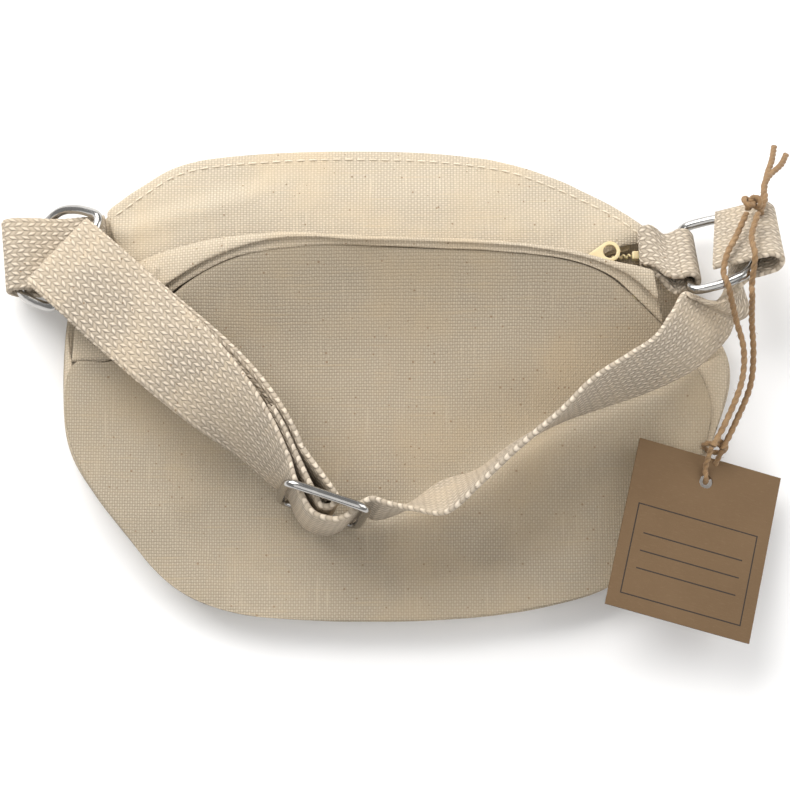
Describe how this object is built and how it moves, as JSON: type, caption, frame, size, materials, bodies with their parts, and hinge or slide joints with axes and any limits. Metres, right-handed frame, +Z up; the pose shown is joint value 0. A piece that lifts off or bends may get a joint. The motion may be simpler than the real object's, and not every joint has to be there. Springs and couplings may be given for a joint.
{
  "type": "treat_pouch",
  "caption": "Small cotton canvas treat pouch with a zipped mouth, a webbing strap on two D-rings with a strap slider, and a kraft hang tag on jute twine, lying on its back",
  "frame": {"origin": "on the floor under the middle of the flat part of the back panel", "axes": "+X along the zip towards the side with the hang tag, +Y from the pouch's bottom to its zip, +Z up out of the front panel"},
  "size_m": [0.2233, 0.144, 0.0419],
  "materials": {
    "canvas": "matte",
    "webbing": "matte",
    "zip_nylon": "satin",
    "zip_tape": "matte",
    "steel": "polished",
    "kraft_card": "matte",
    "jute": "matte"
  },
  "bodies": {
    "pouch": {"back_panel": "canvas", "front_panel": "canvas", "side_gusset": "canvas", "front_zip_band": "canvas", "rear_zip_band": "canvas", "zip_tape_rear": "zip_tape", "zip_tape_front": "zip_tape", "zip_coil_rear": "zip_nylon", "zip_coil_front": "zip_nylon", "zip_bottom_stop": "zip_nylon", "zip_top_stop_rear": "zip_nylon", "zip_top_stop_front": "zip_nylon", "left_tab": "webbing", "right_tab": "webbing"},
    "zip_slider": {"zip_slider": "zip_nylon"},
    "zip_pull": {"zip_pull_tab": "zip_nylon"},
    "strap": {"strap_webbing": "webbing", "left_d_ring": "steel", "right_d_ring": "steel", "slider_frame": "steel", "slider_centre_bar": "steel", "twine_knot": "jute", "twine_tail_left": "jute", "twine_tail_right": "jute"},
    "tag": {"tag_card": "kraft_card", "twine_front_strand": "jute", "twine_back_strand": "jute"}
  },
  "joints": [
    {"name": "zip_slide", "type": "slide", "parent": "pouch", "child": "zip_slider", "axis": [1, 0, 0], "range_m": [-0.084, 0]},
    {"name": "pull_swing", "type": "hinge", "parent": "zip_slider", "child": "zip_pull", "pos_m": [0.0435, 0.0275, 0.0136], "axis": [0, 0, 1], "range_deg": [-18, 110]},
    {"name": "strap_lift", "type": "hinge", "parent": "pouch", "child": "strap", "pos_m": [0, 0.04, 0.018], "axis": [-1, 0, 0], "range_deg": [0, 48], "deforming": ["left_tab", "right_tab"]},
    {"name": "tag_swing", "type": "hinge", "parent": "strap", "child": "tag", "pos_m": [0.095, 0.024, 0.024], "axis": [0, 0, 1], "range_deg": [0, 30], "deforming": ["twine_front_strand", "twine_back_strand"]}
  ]
}
